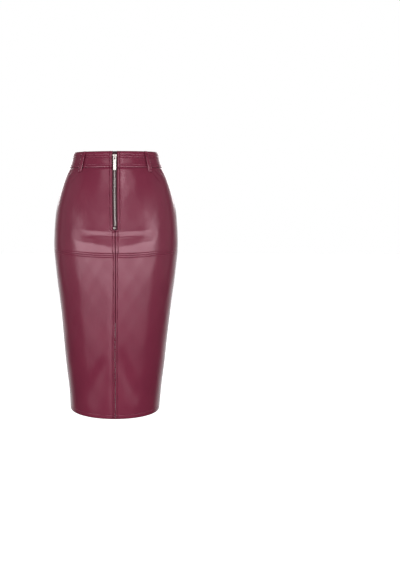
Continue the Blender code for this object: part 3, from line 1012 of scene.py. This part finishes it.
def settleLeather():
    # the worn skirt leans and turns a little below the zip
    for made in skirtPieces:
        flat = np.empty(len(made.data.vertices) * 3)
        made.data.vertices.foreach_get("co", flat)
        points = flat.reshape(-1, 3) / mm
        lean, turn = curveThrough(settlingTable, points[:, 2]).T
        c, s = np.cos(np.radians(turn)), np.sin(np.radians(turn))
        moved = np.stack([points[:, 0] * c - points[:, 1] * s + lean, points[:, 0] * s + points[:, 1] * c,
                          points[:, 2]], -1)
        made.data.vertices.foreach_set("co", (moved * mm).ravel())
        made.data.update()


settleLeather()
print("skirt settled")

# studio, in metres

studio = {
    "cameraDistance": 2.0,
    "cameraHeight": -0.243,
    "cameraTurn": 1.95,  # degrees towards the wearer's left
    "lens": 46.82,
    "sensor": 36.0,
    "clip": (0.05, 100.0),
    "frameSize": (400, 570),
    "objectPixel": (116.0, 242.67),  # where the camera's level axis meets the skirt's middle line
    "floorHeight": -1.10,
    "floorRadius": 60.0,
    "floorLight": 0.78,
    "fibreSize": 6.0,  # of the floor's paper, in millimetres
    # radiance all round the skirt, and that of the pale wall behind it; each rises to its level over a
    # range of the upward or backward share of a direction
    "roomFade": {"From Min": -0.40, "From Max": -0.10, "To Max": 0.10},
    "wallFade": {"From Min": 0.35, "From Max": 0.85, "To Max": 0.85},
    "lightDistance": 8.0,
    "lightHeight": -0.25,  # of the point that all lights face
}

lights = (
    # name, azimuth, elevation, half width and half height in degrees as the skirt sees it, radiance
    ("bandLeft", -44, 3.8, 19.5, 3.8, 7.1),
    ("bandRight", 44, 3.8, 19.5, 3.8, 7.3),
    ("bandFront", 0, 3.8, 24, 3.8, 7.3),
    ("midLeft", -43, -2.9, 18, 2.9, 2.5),
    ("midRight", 43, -2.9, 18, 2.9, 2.6),
    ("midFront", 0, -2.9, 25, 2.9, 2.4),
    ("lowLeft", -43, -10.2, 18, 4.4, 1.1),
    ("lowRight", 43, -10.0, 18, 4.2, 1.0),
    ("lowFront", 0, -10.0, 25, 4.2, 0.9),
    ("lowStrip", -7, -12.0, 1.8, 7.0, 2.4),
    ("lobeLeft", -58, 9.0, 11, 3.0, 1.1),
    ("lobeRight", 54, 10.3, 13, 3.3, 1.6),
    ("highFront", 2, 22.5, 26, 4.5, 2.1),
    ("keyFront", 5.8, 19.0, 8.5, 2.6, 5.3),
    ("sideLeft", -85, 8, 20, 18, 0.32),
    ("sideRight", 85, 8, 20, 18, 0.32),
    ("backLeft", -155, 17, 12, 9, 3.0),
    ("backRight", 155, 17, 12, 9, 3.0),
)


def makeCamera():
    data = bpy.data.cameras.new("camera")
    camera = bpy.data.objects.new("camera", data)
    bpy.context.scene.collection.objects.link(camera)
    bpy.context.scene.camera = camera
    data.lens = studio["lens"]
    data.sensor_width = studio["sensor"]
    data.clip_start, data.clip_end = studio["clip"]
    wide, high = studio["frameSize"]
    data.shift_x = (wide / 2 - studio["objectPixel"][0]) / max(wide, high)
    data.shift_y = (studio["objectPixel"][1] - high / 2) / max(wide, high)
    turn = math.radians(studio["cameraTurn"])
    distance = studio["cameraDistance"]
    camera.location = (distance * math.sin(turn), -distance * math.cos(turn), studio["cameraHeight"])
    camera.rotation_euler = (math.pi / 2, 0.0, turn)


def softbox(name, azimuth, elevation, halfWide, halfHigh, radiance):
    # a soft panel light that faces the skirt's middle; azimuth 0 is in front
    distance = studio["lightDistance"]
    data = bpy.data.lights.new(name, "AREA")
    data.shape = "RECTANGLE"
    data.size, data.size_y = (2 * distance * math.tan(math.radians(half)) for half in (halfWide, halfHigh))
    data.energy = radiance * math.pi * data.size * data.size_y
    light = bpy.data.objects.new(name, data)
    bpy.context.scene.collection.objects.link(light)
    a, e = math.radians(azimuth), math.radians(elevation)
    back = Vector((math.sin(a) * math.cos(e), -math.cos(a) * math.cos(e), math.sin(e)))
    light.location = Vector((0, 0, studio["lightHeight"])) + back * distance
    light.rotation_mode = "QUATERNION"
    light.rotation_quaternion = back.to_track_quat("Z", "Y")
    light.visible_camera = False


def makeRoom():
    # a pale room: white where the camera looks, brighter behind the skirt than around the camera
    scene = bpy.context.scene
    scene.view_settings.view_transform = "Standard"
    world = bpy.data.worlds.new("studio")
    scene.world = world
    world.use_nodes = True
    tree = world.node_tree
    direction = addNode(tree, "ShaderNodeTexCoord").outputs["Generated"]
    split = addNode(tree, "ShaderNodeSeparateXYZ", {}, {"Vector": direction})
    wall = addNode(tree, "ShaderNodeMapRange", {**studio["wallFade"], "interpolation_type": "SMOOTHSTEP"},
                   {"Value": split.outputs["Y"]})
    room = addNode(tree, "ShaderNodeMapRange", {**studio["roomFade"], "interpolation_type": "SMOOTHSTEP"},
                   {"Value": split.outputs["Z"]})
    around = addNode(tree, "ShaderNodeMath", {"operation": "ADD"},
                     {0: wall.outputs["Result"], 1: room.outputs["Result"]})
    path = addNode(tree, "ShaderNodeLightPath")
    level = addNode(tree, "ShaderNodeMapRange", {"To Max": 1.0},
                    {"Value": path.outputs["Is Camera Ray"], "To Min": around.outputs["Value"]})
    tree.links.new(level.outputs["Result"], tree.nodes["Background"].inputs["Strength"])
    tree.nodes["Background"].inputs["Color"].default_value = (1, 1, 1, 1)


def whitePaper():
    # matt white studio paper, lit from its far side as a sweep is
    material, tree, shader = newMaterial("white paper floor", Emission_Strength=studio["floorLight"])
    shader.inputs["Emission Color"].default_value = (1, 1, 1, 1)
    scale = 1 / studio["fibreSize"]
    fibre = addNode(tree, "ShaderNodeTexNoise", {"Scale": scale}, inMillimetres(tree)).outputs["Fac"]
    blendColours(tree, shader, fibre, "F0F0F0", "F4F4F4")
    vary(tree, shader, "Roughness", fibre, 0.85, 0.95)
    bumps(tree, shader, (fibre, 0.05, 0.3))
    return material


def makeFloor():
    mesh = bpy.data.meshes.new("floor")
    build = bmesh.new()
    bmesh.ops.create_circle(build, cap_ends=True, radius=studio["floorRadius"], segments=96)
    build.to_mesh(mesh)
    build.free()
    mesh.materials.append(whitePaper())
    floor = bpy.data.objects.new("floor", mesh)
    bpy.context.scene.collection.objects.link(floor)
    floor.location.z = studio["floorHeight"]
    # the low panel lights shine through it from below its level
    floor.visible_glossy = floor.visible_diffuse = floor.visible_shadow = False


makeCamera()
makeRoom()
makeFloor()
for light in lights:
    softbox(*light)
print("studio made")
